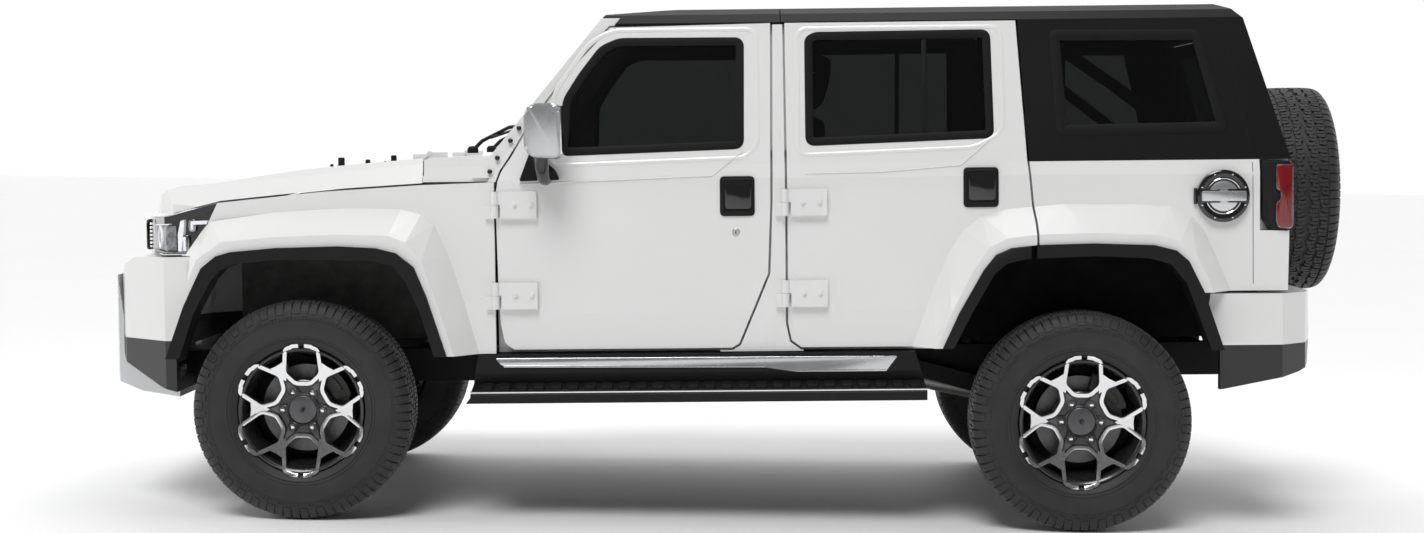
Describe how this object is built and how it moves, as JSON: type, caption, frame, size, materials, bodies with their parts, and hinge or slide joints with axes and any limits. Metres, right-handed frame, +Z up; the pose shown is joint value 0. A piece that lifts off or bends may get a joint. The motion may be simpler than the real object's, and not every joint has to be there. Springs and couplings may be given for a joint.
{
  "type": "lifted off-road 4x4",
  "caption": "White four-door lifted off-road 4x4 with black hard top, flared arches, side steps and a spare wheel on the tailgate.",
  "frame": {"origin": "on the ground below the middle of the vehicle's overall box", "axes": "+Z up, +X towards the rear, +Y towards the vehicle's right side"},
  "size_m": [4.5392, 2.1, 1.8724],
  "materials": {
    "paint_white": "gloss",
    "hardtop_black": "satin",
    "black_plastic": "matt",
    "silver_trim": "satin",
    "glass": "gloss",
    "lamp_clear": "gloss",
    "lamp_red": "gloss",
    "frame_black": "satin",
    "liner": "matt",
    "cabin_plastic": "matt",
    "upholstery": "matt",
    "cast_iron": "matt",
    "bare_steel": "satin",
    "rubber": "matt",
    "alloy": "satin"
  },
  "bodies": {
    "body": {"frame_rails": "frame_black", "floor_tub": "liner", "body_sides": "paint_white", "windscreen_frame": "paint_white", "fixed_glass": "glass", "roof_panel": "hardtop_black", "hardtop": "hardtop_black", "front_wings": "paint_white", "arch_trims": "black_plastic", "grille_panel": "paint_white", "headlamps": "lamp_clear", "front_bumper": "paint_white", "front_skid_plate": "silver_trim", "rear_bumper": "paint_white", "side_steps": "black_plastic", "tail_lamps": "lamp_red", "dashboard": "cabin_plastic", "front_seats": "upholstery", "rear_bench": "upholstery", "engine_block": "cast_iron", "front_suspension": "frame_black", "rear_axle": "frame_black", "propshafts": "bare_steel", "exhaust": "bare_steel", "fuel_tank": "black_plastic"},
    "steering_wheel": {"steering_wheel": "cabin_plastic"},
    "fuel_cap": {"fuel_cap": "black_plastic"},
    "bonnet": {"bonnet": "paint_white"},
    "tailgate": {"tailgate": "paint_white", "tailgate_window": "glass", "spare_tyre": "rubber", "spare_rim": "alloy"},
    "front_left_door": {"front_left_door": "paint_white", "front_left_window": "glass", "left_mirror": "silver_trim"},
    "front_right_door": {"front_right_door": "paint_white", "front_right_window": "glass", "right_mirror": "silver_trim"},
    "rear_left_door": {"rear_left_door": "paint_white", "rear_left_window": "glass"},
    "rear_right_door": {"rear_right_door": "paint_white", "rear_right_window": "glass"},
    "left_knuckle": {"left_knuckle": "cast_iron"},
    "right_knuckle": {"right_knuckle": "cast_iron"},
    "front_left_wheel": {"front_left_tyre": "rubber", "front_left_rim": "alloy"},
    "front_right_wheel": {"front_right_tyre": "rubber", "front_right_rim": "alloy"},
    "rear_left_wheel": {"rear_left_tyre": "rubber", "rear_left_rim": "alloy"},
    "rear_right_wheel": {"rear_right_tyre": "rubber", "rear_right_rim": "alloy"}
  },
  "joints": [
    {"name": "front_left_door_hinge", "type": "hinge", "parent": "body", "child": "front_left_door", "pos_m": [-0.82725, -0.866, 0.91609], "axis": [0.0236, 0, -0.9997], "range_deg": [0, 70]},
    {"name": "rear_left_door_hinge", "type": "hinge", "parent": "body", "child": "rear_left_door", "pos_m": [0.19246, -0.866, 0.94012], "axis": [0.0236, 0, -0.9997], "range_deg": [0, 70]},
    {"name": "front_right_door_hinge", "type": "hinge", "parent": "body", "child": "front_right_door", "pos_m": [-0.82725, 0.866, 0.91609], "axis": [-0.0236, 0, 0.9997], "range_deg": [0, 70]},
    {"name": "rear_right_door_hinge", "type": "hinge", "parent": "body", "child": "rear_right_door", "pos_m": [0.19246, 0.866, 0.94012], "axis": [-0.0236, 0, 0.9997], "range_deg": [0, 70]},
    {"name": "bonnet_hinge", "type": "hinge", "parent": "body", "child": "bonnet", "pos_m": [-1.10123, 0, 1.29374], "axis": [0, 1, 0], "range_deg": [0, 50]},
    {"name": "tailgate_hinge", "type": "hinge", "parent": "body", "child": "tailgate", "pos_m": [1.97961, 0.77, 1.08227], "axis": [-0.0236, 0, 0.9997], "range_deg": [0, 95]},
    {"name": "fuel_cap_hinge", "type": "hinge", "parent": "body", "child": "fuel_cap", "pos_m": [1.62207, -0.858, 1.18587], "axis": [0.0236, 0, -0.9997], "range_deg": [0, 100]},
    {"name": "left_steering", "type": "hinge", "parent": "body", "child": "left_knuckle", "pos_m": [-1.504, -0.7, 0.388], "axis": [0, 0, 1], "range_deg": [-30, 30]},
    {"name": "right_steering", "type": "hinge", "parent": "body", "child": "right_knuckle", "pos_m": [-1.504, 0.7, 0.388], "axis": [0, 0, 1], "range_deg": [-30, 30]},
    {"name": "steering_wheel_turn", "type": "hinge", "parent": "body", "child": "steering_wheel", "pos_m": [-0.53675, -0.37, 1.153], "axis": [0.8882, 0, 0.4594], "range_deg": [-480, 480]},
    {"name": "front_left_wheel_spin", "type": "hinge", "parent": "left_knuckle", "child": "front_left_wheel", "pos_m": [-1.504, -0.79, 0.388], "axis": [0, 1, 0], "continuous": true},
    {"name": "rear_left_wheel_spin", "type": "hinge", "parent": "body", "child": "rear_left_wheel", "pos_m": [1.241, -0.79, 0.388], "axis": [0, 1, 0], "continuous": true},
    {"name": "front_right_wheel_spin", "type": "hinge", "parent": "right_knuckle", "child": "front_right_wheel", "pos_m": [-1.504, 0.79, 0.388], "axis": [0, 1, 0], "continuous": true},
    {"name": "rear_right_wheel_spin", "type": "hinge", "parent": "body", "child": "rear_right_wheel", "pos_m": [1.241, 0.79, 0.388], "axis": [0, 1, 0], "continuous": true}
  ],
  "couplings": [
    {"joint": "right_steering", "follows": "left_steering", "ratio": 1},
    {"joint": "steering_wheel_turn", "follows": "left_steering", "ratio": 16}
  ]
}
